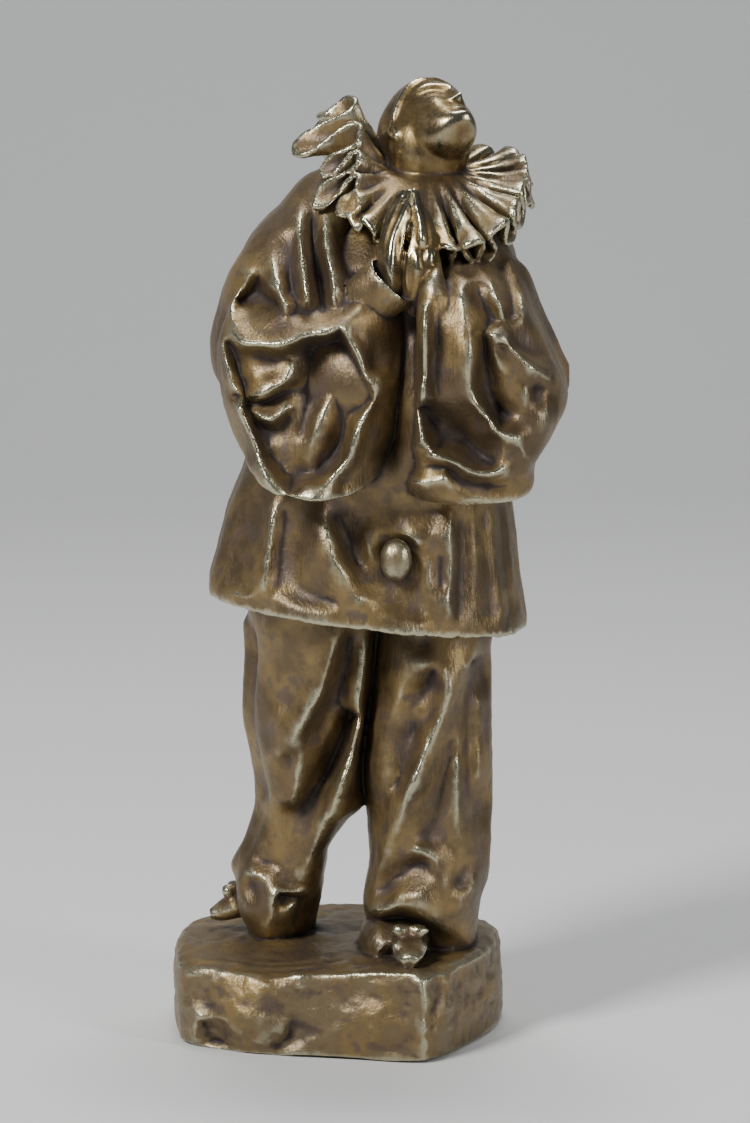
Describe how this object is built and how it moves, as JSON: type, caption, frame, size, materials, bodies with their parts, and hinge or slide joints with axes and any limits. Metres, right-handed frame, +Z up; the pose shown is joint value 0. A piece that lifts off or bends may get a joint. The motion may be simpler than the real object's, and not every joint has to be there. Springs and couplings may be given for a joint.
{
  "type": "commedia dell arte figure",
  "caption": "Cast bronze clown in a pleated ruff and wide hanging sleeves, hands joined under the chin and head thrown back, standing on a rough block",
  "frame": {"origin": "middle of the block's underside", "axes": "+Z up, the longest extent; -Y is the front, where the button, the joined hands and the front shoe are; +X is the figure's left"},
  "size_m": [0.1005, 0.0825, 0.2425],
  "materials": {
    "bronze": "patinated cast bronze, brown in the hollows and rubbed bright on the folds"
  },
  "bodies": {
    "root": {"bronze_figure": "bronze"}
  },
  "joints": []
}
